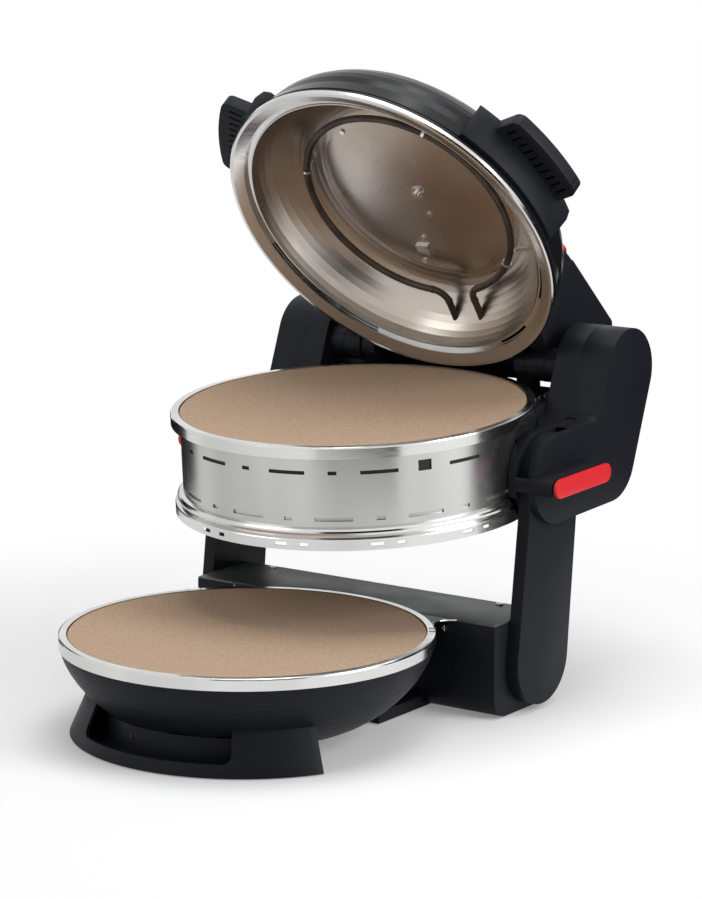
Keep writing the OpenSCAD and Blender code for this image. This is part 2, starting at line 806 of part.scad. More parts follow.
stone_seat = -0.5 - stone_t;
tray_r = wall_r - sheet - 0.3;
upper_heater_z = stone_seat - drum_pan_depth / 2;
module drum_tray() {
    low = stone_seat - drum_pan_depth;
    color(steel) on_drum() difference() {
        rotate_extrude($fn = 180) polygon([
            [0, low], [tray_r - 6, low], [tray_r, low + 6], [tray_r, stone_seat],
            [tray_r - 6, stone_seat], [tray_r - 6, stone_seat - 2],
            [tray_r - sheet, stone_seat - 2], [tray_r - sheet, low + 6.5],
            [tray_r - 6.5, low + sheet], [0, low + sheet]
        ]);
        heater_ends(upper_heater_z, ends_y, tray_r + 1, 0, 0, heater_tube_r + heater_play);
    }
}

module upper_heater() {
    on_drum() heater(upper_heater_z, tray_r - 1.8);
}

drum_dome_z = stone_seat - drum_pan_depth - 8;
drum_heater_z = drum_dome_z - 16;
drum_heater_out = stone_r - heater_edge;
drum_dome_r = crown_r + 18;
module drum_reflector() {
    low = -drum_h + 8;
    color(steel) on_drum() difference() {
        rotate_extrude($fn = 180) polygon([
            [0, drum_dome_z], [drum_dome_r, drum_dome_z], [tray_r - 6, low + 1.5],
            [tray_r - sheet, low + 1.5], [tray_r - sheet, -wall_bottom + 10],
            [tray_r, -wall_bottom + 10], [tray_r, low], [tray_r - 6.5, low],
            [drum_dome_r - 0.6, drum_dome_z - sheet], [0, drum_dome_z - sheet]
        ]);
        heater_ends(drum_heater_z, ends_y, drum_heater_out + 1, 0, 0,
                    heater_tube_r + heater_play);
    }
}

module drum_heater() {
    on_drum() heater(drum_heater_z, drum_heater_out);
}

// ---- carriers that join the drum to the arms and the lid ----

arm_pivot_local = [pivot_back, -pivot_drop];
head_at = arm_pivot_local - [head_ahead, 0];
elbow = [rim_r - elbow_tuck, -pivot_drop - elbow_drop];
upright_top = elbow + upright_len * [sin(upright_lean), cos(upright_lean)];

module carrier_lower2d(r) {
    capsule2d(head_at, elbow, r);
}

module carrier_upper2d(r) {
    capsule2d(elbow, upright_top, r);
}

// keeps what stands clear of the base's top plate when the machine is closed
leg_floor = base_h + 2.4 - drum_closed_z;
module above_base2d(inset) {
    translate([-100, leg_floor + inset]) square([400, 400]);
}

// rounds the inner corner between the two parts of a carrier
module elbow_fillet2d(r) {
    dip = atan2(elbow.y - head_at.y, elbow.x - head_at.x);
    lean = upright_lean + dip;
    rise = [sin(lean), cos(lean)];
    // the point where the lower part's top edge meets the upright's front edge
    corner = r * [-cos(lean), sin(lean)] + r * (1 - sin(lean)) / cos(lean) * rise;
    half = (90 + lean) / 2;
    reach = elbow_fillet / tan(half);
    centre = corner + elbow_fillet / sin(half) * [-cos(half), sin(half)];
    translate(elbow) rotate(dip) difference() {
        polygon([corner + [0.5, -0.5], corner + [-reach, -0.5], corner + [-reach, 0], centre,
                 corner + reach * rise, corner + reach * rise + [0.5, -0.5]]);
        translate(centre) circle(elbow_fillet);
    }
}

module carrier2d(r) {
    carrier_lower2d(r);
    carrier_upper2d(r);
    elbow_fillet2d(r);
}

// the side view that an arm sweeps through, seen from the drum
arm_open_dir = -90 - arm_lean - drum_tip;
arm_closed_dir = arm_drop - 90;
module arm_sweep2d() {
    r = arm_half_w + arm_gap;
    reach = 260;
    translate(arm_pivot_local) {
        circle(max(leg_half_w + head_ahead, arm_head_r + arm_shift) + arm_gap);
        for (a = [arm_open_dir, arm_closed_dir]) rotate(a) translate([0, arm_shift - r])
            square([reach, 2 * r]);
        polygon([[0, 0], reach * [cos(arm_open_dir), sin(arm_open_dir)],
                 reach * [cos(-60), sin(-60)],
                 reach * [cos(arm_closed_dir), sin(arm_closed_dir)]]);
    }
}

module drum_clear(r, z0, z1) {
    translate([0, 0, z0]) cylinder(r = r, h = z1 - z0, $fn = 180);
}

module carrier_frame(side) {
    color("#33363c") on_drum() sided(side) {
        difference() {
            union() {
                slab(leg_split, frame_out) intersection() {
                    union() {
                        carrier_lower2d(leg_half_w);
                        carrier_upper2d(leg_half_w - leg_wall - 0.3);
                    }
                    above_base2d(0);
                }
                rod(arm_pivot_local, boss_r, frame_out - 1, boss_end);
            }
            drum_clear(flange_r + 0.5, -200, -wall_bottom + 1);
            drum_clear(wall_r + 0.5, -200, -rim_h - 1);
        }
        rod(arm_pivot_local, pin_r, boss_end - 1, arm_out - 1.6);
        rod(arm_pivot_local + link_high_level, link_pin_r, boss_end - 1, link_in + link_t + 0.4);
    }
}

module carrier_inner(side) {
    color(black) on_drum() sided(side) difference() {
        union() {
            difference() {
                slab(leg_in, leg_split) intersection() {
                    carrier2d(leg_half_w);
                    above_base2d(0);
                }
                slab(leg_in + leg_wall, leg_split + 1) intersection() {
                    carrier2d(leg_half_w - leg_wall);
                    above_base2d(leg_wall);
                }
            }
            rod(hinge_local, barrel_r, housing_half_w + 0.5, leg_in + leg_wall);
        }
        rod(hinge_local, hinge_pin_r, housing_half_w - 1, leg_in + leg_wall + 1);
        drum_clear(flange_r + 0.5, -200, -rim_h);
        drum_clear(rim_r + 0.5, -200, 20);
    }
}

module carrier_cover(side) {
    color(black) on_drum() sided(side) difference() {
        union() {
            slab(leg_face_in, leg_out) carrier2d(leg_half_w);
            difference() {
                slab(leg_split, leg_face_in + 1) carrier2d(leg_half_w);
                slab(leg_split - 1, leg_face_in + 2) carrier2d(leg_half_w - leg_wall);
                slab(leg_split - 1, leg_face_in) arm_sweep2d();
                slab(leg_split - 1, frame_out) carrier_lower2d(leg_half_w + 1);
            }
        }
        drum_clear(flange_r + 0.5, -200, 20);
    }
}

// black segment between the drum's wall and a carrier
mount_front = pivot_back - 30;
mount_back = wall_r - 65;
module drum_mount(side) {
    top = -rim_h - 0.3;
    low = -wall_bottom + 0.3;
    color(black) on_drum() sided(side) difference() {
        intersection() {
            translate([leg_in - 60, mount_front, low])
                cube([leg_split - 0.02 - leg_in + 60, mount_back - mount_front, top - low]);
            drum_clear(flange_r + 0.48, low, top);
        }
        drum_clear(wall_r + 0.02, -200, 20);
    }
}

bar_centre = arm_pivot_local + [-bar_ahead, 0.3];
bar_wall = 3;
module bar2d(inset) {
    half = [bar_w / 2 - bar_h / 2, 0];
    translate(bar_centre) rotate(-bar_droop) capsule2d(-half, half, bar_h / 2 - inset);
}

bar_socket_r = 7;
bar_stem_r = 4;
module handle_bar(side) {
    color(black) on_drum() sided(side) difference() {
        union() {
            slab(leg_out + 0.02, bar_end) bar2d(0);
            // the nose runs inwards in front of the arm's head, to the drum
            difference() {
                slab(flange_r - 9, leg_out + 1) bar2d(0);
                slab(flange_r - 10, leg_out + 0.02) translate(head_at)
                    circle(leg_half_w + arm_gap);
                slab(flange_r - 10, leg_face_in) arm_sweep2d();
                slab(flange_r - 10, leg_out + 0.02)
                    translate([head_at.x - 20, -200]) square([200, 400]);
                drum_clear(rim_r + 0.4, -200, 20);
            }
        }
        slab(leg_out + bar_wall, bar_end + 1) bar2d(bar_wall);
    }
    color(black) on_drum() sided(side) difference() {
        rod(bar_centre, bar_socket_r, leg_out + bar_wall - 0.5, leg_out + 9.5);
        rod(bar_centre, bar_stem_r + run_fit, leg_out + bar_wall, leg_out + 10.5);
    }
}

module release_button(side) {
    back = bar_end + button_travel + button_gap;
    color(red) on_drum() sided(side) {
        slab(back, back + button_t / 2) bar2d(0);
        slab(back - button_travel - 8, back) bar2d(bar_wall + button_gap);
        rod(bar_centre, bar_stem_r, leg_out + bar_wall + 1 + button_travel, back);
    }
}

// beam behind the drum, and the two posts on it that carry the inner ends of the hinge pins
post_in = sqrt(pow(rim_r + 1, 2) - pow(hinge_back - barrel_r + 1, 2));
post_out = post_in + 16;
post_r = barrel_r - 2;
post_half_w = 9;
beam_front = mount_back;
beam_wall = 3;
beam_top = -rim_h - 4;
beam_screws = hinge_back - 20;
module hinge_beam() {
    back = elbow.x + leg_half_w - 2;
    low = -wall_bottom + 12;
    w = leg_in - 0.02;
    color(black) on_drum() difference() {
        translate([-w, beam_front, low]) cube([2 * w, back - beam_front, beam_top - low]);
        difference() {
            translate([-w + beam_wall, beam_front - 1, low - 1])
                cube([2 * (w - beam_wall), back - beam_front - beam_wall + 1,
                      beam_top - low - beam_wall + 1]);
            drum_clear(wall_r + beam_wall, -200, 20);
        }
        drum_clear(wall_r + 0.02, -200, 20);
    }
}

module hinge_post(side) {
    color(black) on_drum() sided(side) difference() {
        slab(post_in, post_out) {
            translate([hinge_back - post_half_w, beam_top + 0.02])
                square([2 * post_half_w, hinge_up - beam_top - 0.02]);
            translate(hinge_local) circle(post_r);
        }
        rod(hinge_local, hinge_pin_r, post_in + 3, post_out + 1);
    }
}

module hinge_pins() {
    color(steel) on_drum() for (s = [-1, 1]) sided(s)
        rod(hinge_local, hinge_pin_r, post_in + 3, leg_in + leg_wall);
}

module carrier_screws() {
    color(steel) on_drum() for (s = [-1, 1]) sided(s) for (y = [beam_screws, beam_screws + 12])
        translate([leg_in - 20, y, beam_top]) screw_head();
}

// ---- lid ----

shell_r = rim_r - 6;
// outer side of the shell: a steep wall that rounds over to a flat crown
function shell_side(inset) = [
    for (t = [0:7.5:90]) [
        shell_r - lid_shoulder_w * (1 - cos(t)) - inset,
        lid_h - inset - lid_shoulder_h * (1 - sin(t))
    ]
];

vent_z = lid_h - 28;
module lid_shell() {
    out = shell_side(0);
    in = shell_side(lid_wall);
    n = len(in);
    edge = rim_r - 1;
    groove = lid_band + 3;
    color(black) on_lid() difference() {
        rotate_extrude($fn = 180) polygon(concat(
            [[edge - lid_wall, lid_band], [edge, lid_band], [edge, groove],
             [edge - 1.4, groove + 0.6], [edge - 1.4, groove + 2.2], [edge - 0.6, groove + 2.8]],
            out, [[0, lid_h], [0, lid_h - lid_wall]],
            [for (i = [0:n - 1]) in[n - 1 - i]]
        ));
        for (a = [0:30:359]) rotate([0, 0, a + 15]) translate([0, -rim_r + 20, vent_z])
            cube([slot_long, 60, slot_h - 1.6], center = true);
    }
}

lip_r = rim_r - 19;
rim_step = rim_r - 12.5;
step_z = 10;
module lid_rim() {
    slot_r = (lip_r + rim_step) / 2;
    slot_angle = 16;
    color(steel) on_lid() difference() {
        rotate_extrude($fn = 180) polygon([
            [rim_r - 1.2, 0], [rim_r, 1.2], [rim_r, lid_band], [rim_r - sheet, lid_band],
            [rim_r - sheet, 3], [rim_r - 4, 1.6], [rim_step, 5.6], [rim_step, step_z],
            [lip_r, step_z], [lip_r, step_z - sheet], [rim_step - sheet, step_z - sheet],
            [rim_step - sheet, 4.8], [rim_r - 4, 0]
        ]);
        for (a = [20.5, 54.6, 125.4, 159.5]) rotate([0, 0, a - slot_angle / 2])
            rotate_extrude(angle = slot_angle) translate([slot_r - 1.3, step_z - 4])
            square([2.6, 6]);
    }
}

reflector_out = lip_r - 0.3;
reflector_low = step_z - sheet;
reflector_full = 1.2;
function reflector_side(inset) = [
    for (t = [0:7.5:90]) [
        crown_r + (reflector_out - crown_r) * pow(sin(t), reflector_full),
        reflector_low + (reflector_depth - reflector_low) * pow(cos(t), reflector_full) - inset
    ]
];
// height of the reflector's inside at radius r
function reflector_z(r) = let (t = asin(pow(max(0, (r - crown_r) / (reflector_out - crown_r)),
    1 / reflector_full)))
    reflector_low + (reflector_depth - reflector_low) * pow(cos(t), reflector_full) - sheet;

lid_heater_z = reflector_depth - 22;
lid_heater_turn = -8;
lid_heater_out = lip_r - 8;
lid_heater_rise = -4;
module lid_reflector() {
    top = reflector_side(0);
    low = reflector_side(sheet);
    n = len(low);
    color(steel) on_lid() difference() {
        rotate_extrude($fn = 180) polygon(concat(
            [[0, reflector_depth]], top, [[reflector_out, reflector_low - sheet]],
            [for (i = [0:n - 2]) low[n - 1 - i] - [sheet * sin(80 - 80 * i / (n - 1)), 0]],
            [[crown_r, reflector_depth - sheet], [0, reflector_depth - sheet]]
        ));
        heater_ends(lid_heater_z, bend_y, lid_heater_out + 1, lid_heater_rise, lid_heater_turn,
                    heater_tube_r + heater_play);
    }
}

module lid_heater() {
    on_lid() bent_heater(lid_heater_z, lid_heater_out, lid_heater_rise, lid_heater_turn);
}

clip_angles = [-160, -60, 35];
clip_r = heater_tube_r + 1.4;
module heater_clips() {
    strap_r = heater_r - 1;
    strap_top = reflector_z(strap_r + sheet) - 0.3 - lid_heater_z;
    color(steel) on_lid() for (a = clip_angles) rotate([0, 0, a])
        translate([0, 1.5, lid_heater_z]) rotate([90, 0, 0]) {
            translate([heater_r, 0, 0]) difference() {
                cylinder(r = clip_r, h = 3);
                translate([0, 0, -1]) cylinder(r = heater_tube_r + 0.1, h = 5);
            }
            translate([strap_r, heater_tube_r + 0.4, 0])
                cube([sheet, strap_top - heater_tube_r - 0.4, 3]);
        }
}

module lid_fasteners() {
    z = reflector_depth - sheet;
    color(steel) on_lid() {
        translate([0, 0, z - 6]) cylinder(r = 3, h = 6, $fn = 24);
        translate([0, 0, z - 2]) cylinder(r = 6.5, h = 2, $fn = 24);
        for (p = [[0.03, 0.28], [-0.16, 0.6], [-0.26, 0.91], [-0.59, -0.72]])
            translate([p.x * crown_r, p.y * crown_r, z]) rotate([180, 0, 0])
            cylinder(r = 2.6, h = 1.8, $fn = 24);
        translate([-0.28 * crown_r, 0.69 * crown_r, z - 3]) cube([14, 14, 3]);
    }
}

housing_front = rim_r - 103;
housing_wall = 3;
// the sides step in and narrow ahead of the step
housing_step = [rim_r - housing_step_tuck, 1.2];
housing_taper = 4;
housing_side_wall = 8;
// bevel at the lower rear edge, clear of the beam when the lid is open
housing_bevel = 22;
// height of the housing's sloping top at y
function housing_top(y) = lid_h + 1.8 + (y - housing_front) * tan(housing_slope);
module housing2d(inset) {
    y0 = housing_front + inset;
    y1 = housing_back - inset;
    z0 = housing_low + inset;
    z1 = housing_h - inset;
    r = housing_edge_r - inset;
    difference() {
        union() {
            translate([y0, z0]) square([y1 - y0 - r, z1 - z0]);
            translate([y1 - r - 1, z0]) square([r + 1, z1 - z0 - r]);
            translate([y1 - r, z1 - r]) circle(r);
        }
        translate([y0 - 1, housing_top(y0 - 1) - inset / cos(housing_slope)])
            rotate(housing_slope) square([200, 60]);
        translate([housing_back - housing_bevel, housing_low]) rotate(45)
            translate([-60, inset - 100]) square([160, 100]);
    }
}

module lid_solid() {
    out = shell_side(-0.02);
    rotate_extrude($fn = 180) polygon(concat(
        [[0, -1], [rim_r + 0.3, -1], [rim_r + 0.3, lid_band + 0.3], [rim_r - 0.9, lid_band + 0.3],
         [rim_r - 1.5, lid_band + 6]], out,
        [[0, lid_h + 0.02]]
    ));
}

knob_at = [housing_half_w - 23, housing_step.x - 12];
knob_stem_r = 3;
// stands on the housing's sloping top, square to it
module on_slope() {
    on_lid() translate([knob_at.x, knob_at.y, housing_top(knob_at.y)])
        rotate([housing_slope, 0, 0]) children();
}

module lid_housing() {
    room = post_half_w + 21;
    color(black) difference() {
        on_lid() difference() {
            union() {
                difference() {
                    slab(-housing_half_w, housing_half_w) housing2d(0);
                    slab(-housing_half_w + housing_side_wall, housing_half_w - housing_side_wall)
                        housing2d(housing_wall);
                    for (s = [-1, 1]) sided(s)
                        translate([housing_half_w, housing_step.x, housing_top(housing_step.x)])
                        rotate([housing_slope, 0, 0]) rotate([0, 0, -housing_taper])
                        translate([-housing_step.y, -150, -150]) cube([30, 150, 200]);
                    lid_solid();
                }
                for (s = [-1, 1]) sided(s)
                    rod(lid_hinge, barrel_r, post_out + 0.5, housing_half_w);
            }
            for (s = [-1, 1]) sided(s) {
                rod(lid_hinge, hinge_pin_r + run_fit, post_out - 1, housing_half_w + 1);
                rod(lid_hinge, barrel_r + 1, post_in - 2, post_out + 0.4);
                translate([post_in - 2, hinge_back - room, -1])
                    cube([post_out - post_in + 2.4, 2 * room, 32]);
            }
        }
        on_slope() translate([0, 0, -12]) cylinder(r = knob_stem_r + run_fit, h = 20);
    }
}

module thermostat_knob() {
    color(red) on_slope() {
        translate([0, 0, arm_gap]) cylinder(r = knob_r, h = knob_h);
        translate([0, 0, -8]) cylinder(r = knob_stem_r, h = 9);
    }
}

// a grip's plate, drawn from above: its outer edge is round about the lid's axis
module grip2d() {
    side = (grip_w / 2 - grip_corner_r) / (grip_reach - grip_corner_r);
    corner = (grip_reach - grip_corner_r) * [cos(asin(side)), side];
    intersection() {
        translate([rim_r - 12, -grip_w / 2]) square([grip_reach - rim_r + 12, grip_w]);
        union() {
            translate([0, -grip_w / 2]) square([corner.x, grip_w]);
            intersection() {
                translate([0, -corner.y]) square([grip_reach, 2 * corner.y]);
                circle(grip_reach, $fn = 180);
            }
            for (s = [-1, 1]) translate([corner.x, s * corner.y]) circle(grip_corner_r);
        }
    }
}

grip_reach = rim_r + grip_out;
module lid_grip(side) {
    pad_low = lid_band + 5;
    pad_top = grip_z + grip_t + 5;
    color(black) on_lid() sided(side) rotate([0, 0, -grip_angle]) difference() {
        union() {
            // curved pad on the lid's side
            rotate([0, 0, -pad_half_angle]) rotate_extrude(angle = 2 * pad_half_angle, $fn = 180)
                polygon([
                    [rim_r - 12, pad_low], [rim_r + 3, pad_low + 2], [rim_r + 6, grip_z + 2],
                    [rim_r + 3, grip_z + grip_t + 1], [rim_r - 3, pad_top], [rim_r - 30, pad_top]
                ]);
            translate([0, 0, grip_z]) linear_extrude(grip_t) grip2d();
        }
        lid_solid();
        for (i = [-4.5:4.5]) translate([rim_r + 7, i * 8.2 - 1.2, grip_z - 1])
            cube([13, 2.4, 5]);
    }
}

base_housing();
base_top_plate();
base_bottom_cover();
pan_bowl();
pan_rim();
lower_reflector();
lower_heater();
lower_stone();
front_foot();
rubber_pads();
base_screws();
cord_gland();
pivot_boss(-1);  // pivot_boss_left
pivot_boss(1);  // pivot_boss_right
arm_plate(-1);  // arm_plate_left
arm_plate(1);  // arm_plate_right
arm_cover(-1);  // arm_cover_left
arm_cover(1);  // arm_cover_right
arm_pin(-1);  // arm_pin_left
arm_pin(1);  // arm_pin_right
level_link(-1);  // level_link_left
level_link(1);  // level_link_right
drum_wall();
drum_rim();
drum_flange();
upper_stone();
drum_tray();
upper_heater();
drum_reflector();
drum_heater();
drum_mount(-1);  // drum_mount_left
drum_mount(1);  // drum_mount_right
carrier_frame(-1);  // carrier_frame_left
carrier_frame(1);  // carrier_frame_right
carrier_inner(-1);  // carrier_inner_left
carrier_inner(1);  // carrier_inner_right
carrier_cover(-1);  // carrier_cover_left
carrier_cover(1);  // carrier_cover_right
handle_bar(-1);  // handle_bar_left
handle_bar(1);  // handle_bar_right
release_button(-1);  // release_button_left
release_button(1);  // release_button_right
hinge_beam();
hinge_post(-1);  // hinge_post_left
hinge_post(1);  // hinge_post_right
hinge_pins();
carrier_screws();
lid_shell();
lid_rim();
lid_reflector();
lid_heater();
heater_clips();
lid_fasteners();
lid_housing();
lid_grip(-1);  // lid_grip_left
lid_grip(1);  // lid_grip_right
thermostat_knob();
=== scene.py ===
"""Looks of the two-level pizza maker: materials, small details, studio light and camera."""
import json
import math

import bmesh
import bpy
from mathutils import Matrix, Vector


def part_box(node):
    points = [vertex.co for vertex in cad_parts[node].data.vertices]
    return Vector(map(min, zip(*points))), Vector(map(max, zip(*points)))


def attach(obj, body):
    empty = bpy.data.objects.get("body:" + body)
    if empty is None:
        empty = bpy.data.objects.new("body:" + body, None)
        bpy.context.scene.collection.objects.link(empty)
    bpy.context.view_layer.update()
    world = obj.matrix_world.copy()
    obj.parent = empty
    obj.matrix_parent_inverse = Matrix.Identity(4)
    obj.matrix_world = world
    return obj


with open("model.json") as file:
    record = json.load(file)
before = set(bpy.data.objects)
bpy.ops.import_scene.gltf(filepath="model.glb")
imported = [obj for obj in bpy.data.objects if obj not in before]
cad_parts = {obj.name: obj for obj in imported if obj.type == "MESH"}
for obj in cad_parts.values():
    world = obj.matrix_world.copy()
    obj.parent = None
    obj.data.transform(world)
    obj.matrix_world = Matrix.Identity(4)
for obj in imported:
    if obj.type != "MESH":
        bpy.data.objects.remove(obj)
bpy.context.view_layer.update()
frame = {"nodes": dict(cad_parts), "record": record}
NODES = frame["nodes"]
RECORD = frame["record"]
MM = 0.001

# ---- places taken from the frame ----


def middle(node):
    lo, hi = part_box(node)
    return (Vector(lo) + Vector(hi)) / 2


def size(node):
    lo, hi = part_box(node)
    return Vector(hi) - Vector(lo)


PAN_AXIS_Y = middle("pan_rim").y
RIM_R = size("pan_rim").x / 2
PAN_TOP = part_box("pan_rim")[1][2]
PLATE_LOW, PLATE_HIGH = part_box("base_top_plate")

# ---- materials ----
NOISE_LOW, NOISE_HIGH = 0.3, 0.7


def material(name, color, rough=0.5, metal=0.0, spec=0.5):
    look = bpy.data.materials.new(name)
    look.use_nodes = True
    shader = look.node_tree.nodes["Principled BSDF"]
    shader.inputs["Base Color"].default_value = (*color, 1)
    shader.inputs["Roughness"].default_value = rough
    shader.inputs["Metallic"].default_value = metal
    shader.inputs["Specular IOR Level"].default_value = spec
    return look


def tree_of(look):
    """The nodes, the links and the main shader of a material."""
    tree = look.node_tree
    return tree.nodes, tree.links, tree.nodes["Principled BSDF"]


def noise(look, scale, detail=3.0, stretch=(1, 1, 1)):
    """The output of a noise texture in the piece's own coordinates, in metres."""
    nodes, links, _ = tree_of(look)
    place = nodes.new("ShaderNodeTexCoord")
    mapping = nodes.new("ShaderNodeMapping")
    mapping.inputs["Scale"].default_value = stretch
    texture = nodes.new("ShaderNodeTexNoise")
    texture.inputs["Scale"].default_value = scale
    texture.inputs["Detail"].default_value = detail
    links.new(place.outputs["Object"], mapping.inputs["Vector"])
    links.new(mapping.outputs["Vector"], texture.inputs["Vector"])
    return texture.outputs["Fac"]


def facing_up(look):
    """The Z part of the surface's direction in the piece's own frame: above 0 it faces up."""
    nodes, links, _ = tree_of(look)
    parts = nodes.new("ShaderNodeSeparateXYZ")
    links.new(nodes.new("ShaderNodeTexCoord").outputs["Normal"], parts.inputs[0])
    return parts.outputs["Z"]


def vary(look, socket, source, low, high):
    """Moves one value of the shader between low and high."""
    nodes, links, shader = tree_of(look)
    spread = nodes.new("ShaderNodeMapRange")
    spread.inputs["From Min"].default_value = NOISE_LOW
    spread.inputs["From Max"].default_value = NOISE_HIGH
    spread.inputs["To Min"].default_value = low
    spread.inputs["To Max"].default_value = high
    links.new(source, spread.inputs["Value"])
    links.new(spread.outputs["Result"], shader.inputs[socket])


def tint(look, source, stops):
    """Base colour from a source: stops are (position, colour)."""
    nodes, links, shader = tree_of(look)
    ramp = nodes.new("ShaderNodeValToRGB")
    elements = ramp.color_ramp.elements
    while len(elements) < len(stops):
        elements.new(0.5)
    for element, (where, color) in zip(elements, stops):
        element.position = where
        element.color = (*color, 1)
    links.new(source, ramp.inputs["Fac"])
    links.new(ramp.outputs["Color"], shader.inputs["Base Color"])


def bump(look, source, strength, distance):
    nodes, links, shader = tree_of(look)
    relief = nodes.new("ShaderNodeBump")
    relief.inputs["Strength"].default_value = strength
    relief.inputs["Distance"].default_value = distance
    links.new(source, relief.inputs["Height"])
    links.new(relief.outputs["Normal"], shader.inputs["Normal"])


BLACK = material("black_plastic", (0.0100, 0.0108, 0.0150), 0.48, spec=0.13)
bump(BLACK, noise(BLACK, 1400, 2), 0.22, 0.00015)
vary(BLACK, "Roughness", noise(BLACK, 30, 3), 0.42, 0.50)

GLOSS_BLACK = material("lid_black", (0.008, 0.0085, 0.010), 0.24, spec=0.16)
vary(GLOSS_BLACK, "Roughness", noise(GLOSS_BLACK, 24, 3), 0.20, 0.28)

# the drum's wall: drawn sheet with fine round-about brushing; its soft upright light and dark
# bands are painted reflections in its colour
WALL = material("drum_steel", (0.42, 0.42, 0.42), 0.24, metal=1.0)
tint(WALL, noise(WALL, 11, 2, (1, 1, 0.05)), [
    (0.32, (0.42, 0.42, 0.415)), (0.68, (0.60, 0.60, 0.59)),
])
bump(WALL, noise(WALL, 500, 2, (0.15, 0.15, 6)), 0.10, 0.0001)

# polished steel for the rims: the soft upright light and dark bands in its colour are painted
# reflections
STEEL = material("polished_steel", (0.60, 0.60, 0.59), 0.16, metal=1.0)
tint(STEEL, noise(STEEL, 9, 2, (1, 1, 0.05)), [
    (0.32, (0.55, 0.55, 0.545)), (0.68, (0.74, 0.74, 0.73)),
])
vary(STEEL, "Roughness", noise(STEEL, 60, 4, (1, 1, 30)), 0.12, 0.22)

REFLECTOR = material("reflector", (0.50, 0.48, 0.45), 0.3, metal=1.0)
tint(REFLECTOR, noise(REFLECTOR, 4.5, 3), [
    (0.32, (0.42, 0.35, 0.29)), (0.50, (0.55, 0.50, 0.45)), (0.68, (0.66, 0.64, 0.61)),
])
vary(REFLECTOR, "Roughness", noise(REFLECTOR, 12, 4), 0.24, 0.36)
bump(REFLECTOR, noise(REFLECTOR, 160, 3), 0.05, 0.0004)

STONE = material("baking_stone", (0.50, 0.345, 0.225), 0.85, spec=0.2)
tint(STONE, noise(STONE, 420, 4), [
    (0.35, (0.43, 0.30, 0.205)), (0.65, (0.53, 0.375, 0.265)),
])
bump(STONE, noise(STONE, 700, 3), 0.25, 0.0003)

ELEMENT = material("element", (0.06, 0.047, 0.040), 0.45, metal=0.5)
tint(ELEMENT, noise(ELEMENT, 40, 3), [
    (0.35, (0.040, 0.030, 0.026)), (0.65, (0.085, 0.062, 0.048)),
])

PLATE = material("top_plate", (0.105, 0.118, 0.120), 0.42, metal=0.6)
vary(PLATE, "Roughness", noise(PLATE, 20, 4), 0.36, 0.46)
tint(PLATE, noise(PLATE, 6, 2), [
    (0.35, (0.085, 0.096, 0.098)), (0.65, (0.125, 0.138, 0.140)),
])

BRIGHT = material("bright_steel", (0.70, 0.70, 0.70), 0.2, metal=1.0)
vary(BRIGHT, "Roughness", noise(BRIGHT, 300, 2), 0.16, 0.26)

CAST = material("dark_casting", (0.010, 0.0108, 0.0140), 0.5, spec=0.14)
bump(CAST, noise(CAST, 900, 3), 0.3, 0.0002)

RED = material("red_plastic", (0.66, 0.020, 0.026), 0.34, spec=0.4)
vary(RED, "Roughness", noise(RED, 60, 2), 0.30, 0.38)

RUBBER = material("rubber", (0.010, 0.010, 0.010), 0.8, spec=0.3)
bump(RUBBER, noise(RUBBER, 1500, 2), 0.3, 0.0002)

# the drum's tray, seen through the slots in its wall: painted near-black, painted shade inside the
# drum
TRAY = material("tray_painted_shade", (0.012, 0.012, 0.012), 0.6, metal=0.3)
bump(TRAY, noise(TRAY, 300, 2), 0.1, 0.0002)

# the drum's reflector: bright where it faces down, near-black painted shade where it faces up
REFLECTOR_SHADED = material("reflector_painted_shade", (0.50, 0.46, 0.42), 0.3, metal=1.0)
vary(REFLECTOR_SHADED, "Roughness", noise(REFLECTOR_SHADED, 12, 4), 0.24, 0.36)
tint(REFLECTOR_SHADED, facing_up(REFLECTOR_SHADED), [(0.0, (0.50, 0.46, 0.42)), (0.02, (0.012, 0.012, 0.012))])

LOOKS = {
    "black_plastic": BLACK,
    "brushed_steel": STEEL,
    "reflector_sheet": REFLECTOR,
    "baking_stone": STONE,
    "element_tube": ELEMENT,
    "top_plate": PLATE,
    "bright_steel": BRIGHT,
    "cast_alloy": CAST,
    "red_plastic": RED,
    "rubber": RUBBER,
}
# nodes that don't take the look of their slot
OWN_LOOK = {
    "drum_wall": WALL, "lid_shell": GLOSS_BLACK, "drum_tray": TRAY, "drum_reflector": REFLECTOR_SHADED,
}
SLOTS = {part["node"]: part["material_slot"] for part in RECORD["subparts"]}

# ---- the solids: looks and rounded edges ----
# parts whose edges are rounded: node prefix and radius in mm
ROUNDED = {
    "arm_cover": 1.6, "carrier_cover": 1.8, "carrier_inner": 1.2, "carrier_frame": 0.8,
    "handle_bar": 1.2, "release_button": 0.9, "base_housing": 1.4, "base_top_plate": 0.7,
    "lid_housing": 1.4, "lid_grip": 1.6, "thermostat_knob": 1.2, "front_foot": 1.0,
    "hinge_beam": 1.2, "hinge_post": 1.0, "rubber_pads": 0.8,
}
CREASE = math.radians(32)
BEVEL_ABOVE = math.radians(50)
BEVEL_SEGMENTS = 3
WELD_GAP = 0.02 * MM


def bevel(o, width):
    weld = o.modifiers.new("weld", "WELD")
    weld.merge_threshold = WELD_GAP
    rounding = o.modifiers.new("bevel", "BEVEL")
    rounding.width = width
    rounding.segments = BEVEL_SEGMENTS
    rounding.limit_method = "ANGLE"
    rounding.angle_limit = BEVEL_ABOVE
    rounding.use_clamp_overlap = True
    rounding.miter_outer = "MITER_ARC"


def smooth(mesh):
    """Smooth shading, with sharp edges where faces meet at more than the crease angle."""
    for face in mesh.polygons:
        face.use_smooth = True
    mesh.set_sharp_from_angle(angle=CREASE)


for name, o in NODES.items():
    o.data.materials.clear()
    o.data.materials.append(OWN_LOOK.get(name, LOOKS[SLOTS[name]]))
    smooth(o.data)
    for prefix, radius in ROUNDED.items():
        if name.startswith(prefix):
            bevel(o, radius * MM)

# ---- tools for the small pieces ----


